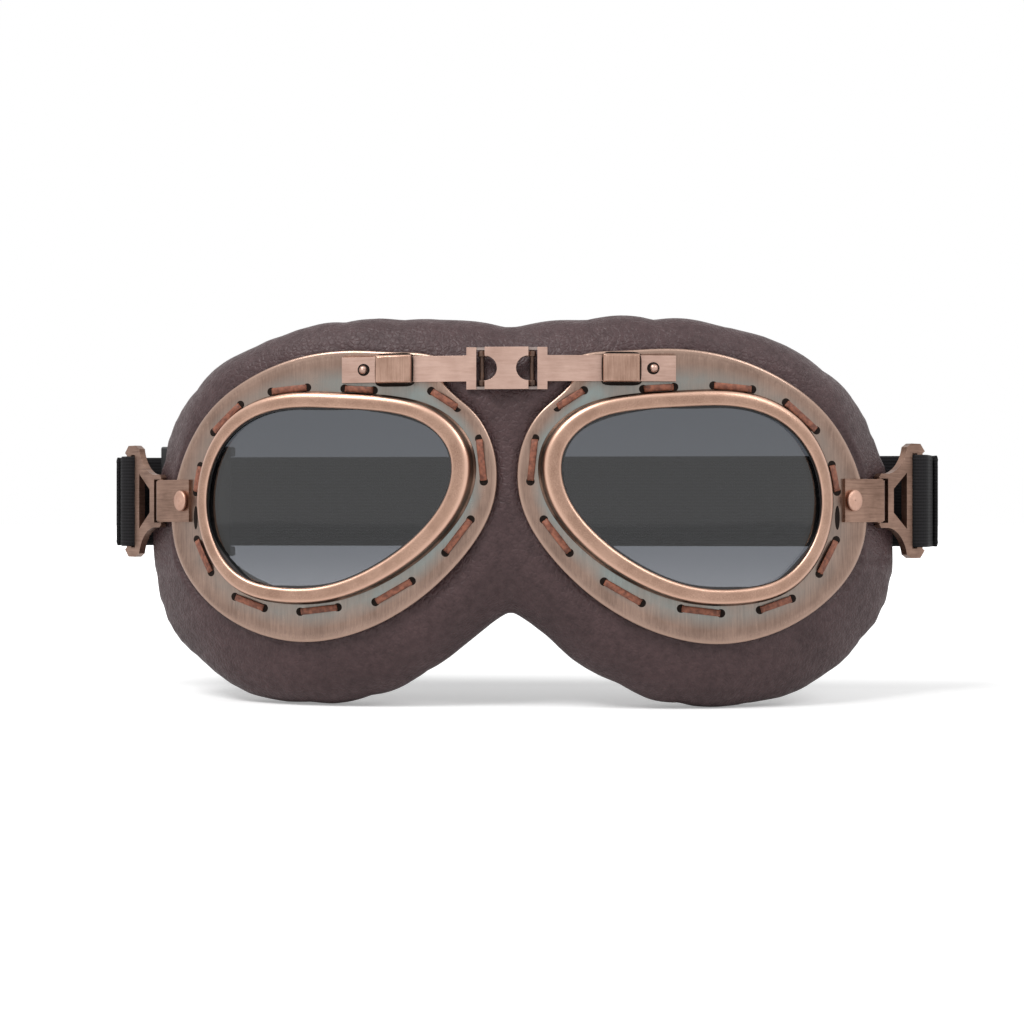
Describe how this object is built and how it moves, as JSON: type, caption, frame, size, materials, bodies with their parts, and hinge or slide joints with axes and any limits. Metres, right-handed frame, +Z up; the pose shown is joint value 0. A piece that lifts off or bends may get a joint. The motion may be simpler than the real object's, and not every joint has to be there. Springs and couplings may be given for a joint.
{
  "type": "aviator goggles",
  "caption": "Aviator flying goggles: copper eyecups with curved smoke lenses on a padded leather mask, hinged nose clasp, side buckles and an elastic strap with a slider.",
  "frame": {"origin": "on the floor under the middle of the whole object's box, where the leather pad's lower lobes stand", "axes": "+X to the viewer's right as seen from the front, -Y out of the lenses, the strap at +Y, +Z up"},
  "size_m": [0.2306, 0.0588, 0.1015],
  "materials": {
    "copper": "brushed antique copper",
    "bright_copper": "polished copper, lightly brushed",
    "patina_copper": "antique copper with a grey-green patina",
    "dark_pin": "darkened",
    "smoke_lens": "glossy smoke grey",
    "gasket_rubber": "matt",
    "thong_leather": "matt flat thong",
    "dark_leather": "soft dark brown, fine grain",
    "foam": "open cell",
    "elastic": "black woven elastic",
    "black_plastic": "matt"
  },
  "bodies": {
    "right_eye": {"right_eyecup": "patina_copper", "right_bezel": "copper", "right_lens": "smoke_lens", "right_gasket": "gasket_rubber", "right_lacing": "thong_leather", "right_bridge_arm": "copper", "right_keeper_block": "copper", "right_arm_rivet": "copper", "right_hinge_pin": "dark_pin", "right_lug": "copper", "right_lug_rivet": "bright_copper", "right_pad_cover": "dark_leather", "right_pad_foam": "foam", "nose_pad": "dark_leather"},
    "left_eye": {"left_eyecup": "patina_copper", "left_bezel": "copper", "left_lens": "smoke_lens", "left_gasket": "gasket_rubber", "left_lacing": "thong_leather", "left_bridge_arm": "copper", "left_keeper_block": "copper", "left_arm_rivet": "copper", "left_hinge_pin": "dark_pin", "left_lug": "copper", "left_lug_rivet": "bright_copper", "left_pad_cover": "dark_leather", "left_pad_foam": "foam"},
    "bridge_link": {"bridge_plate": "bright_copper"},
    "right_buckle": {"right_buckle": "copper"},
    "left_buckle": {"left_buckle": "copper"},
    "right_strap_end": {"right_strap_loop": "elastic"},
    "left_strap_end": {"left_strap_loop": "elastic"},
    "back_run": {"strap_back": "elastic"},
    "left_run": {"left_strap": "elastic"},
    "slider": {"strap_slider": "black_plastic"}
  },
  "joints": [
    {"name": "bridge_flex", "type": "hinge", "parent": "right_eye", "child": "left_eye", "pos_m": [0, -0.02566, 0.0866], "axis": [0, 0, 1], "range_deg": [-4, 4], "stiffness_Nm_per_rad": 0.6, "deforming": ["nose_pad"]},
    {"name": "bridge_plate_turn", "type": "hinge", "parent": "right_eye", "child": "bridge_link", "pos_m": [0.0063, -0.02566, 0.0866], "axis": [0, 0, 1], "range_deg": [-2, 2]},
    {"name": "right_buckle_swing", "type": "hinge", "parent": "right_eye", "child": "right_buckle", "pos_m": [0.09658, 0.00508, 0.0535], "axis": [0, 0, 1], "range_deg": [-8, 8]},
    {"name": "left_buckle_swing", "type": "hinge", "parent": "left_eye", "child": "left_buckle", "pos_m": [-0.09658, 0.00508, 0.0535], "axis": [0, 0, 1], "range_deg": [-8, 8]},
    {"name": "right_strap_turn", "type": "hinge", "parent": "right_buckle", "child": "right_strap_end", "pos_m": [0.1086, 0.0171, 0.0535], "axis": [0, 0, 1], "range_deg": [-8, 8]},
    {"name": "left_strap_turn", "type": "hinge", "parent": "left_buckle", "child": "left_strap_end", "pos_m": [-0.1086, 0.0171, 0.0535], "axis": [0, 0, 1], "range_deg": [-8, 8]},
    {"name": "right_fold", "type": "hinge", "parent": "right_strap_end", "child": "back_run", "pos_m": [0.1126, 0.02336, 0.0535], "axis": [0, 0, 1], "range_deg": [-2, 2]},
    {"name": "left_fold", "type": "hinge", "parent": "left_strap_end", "child": "left_run", "pos_m": [-0.1126, 0.02506, 0.0535], "axis": [0, 0, 1], "range_deg": [-2, 2]},
    {"name": "slider_slide", "type": "slide", "parent": "left_run", "child": "slider", "axis": [1, 0, 0], "range_m": [0, 0.02]}
  ],
  "couplings": [
    {"joint": "bridge_plate_turn", "follows": "bridge_flex", "ratio": 0.5},
    {"joint": "right_fold", "follows": "bridge_flex", "ratio": 0.5},
    {"joint": "left_fold", "follows": "bridge_flex", "ratio": -0.5},
    {"joint": "left_buckle_swing", "follows": "right_buckle_swing", "ratio": -1},
    {"joint": "right_strap_turn", "follows": "right_buckle_swing", "ratio": -1},
    {"joint": "left_strap_turn", "follows": "right_buckle_swing", "ratio": 1}
  ]
}
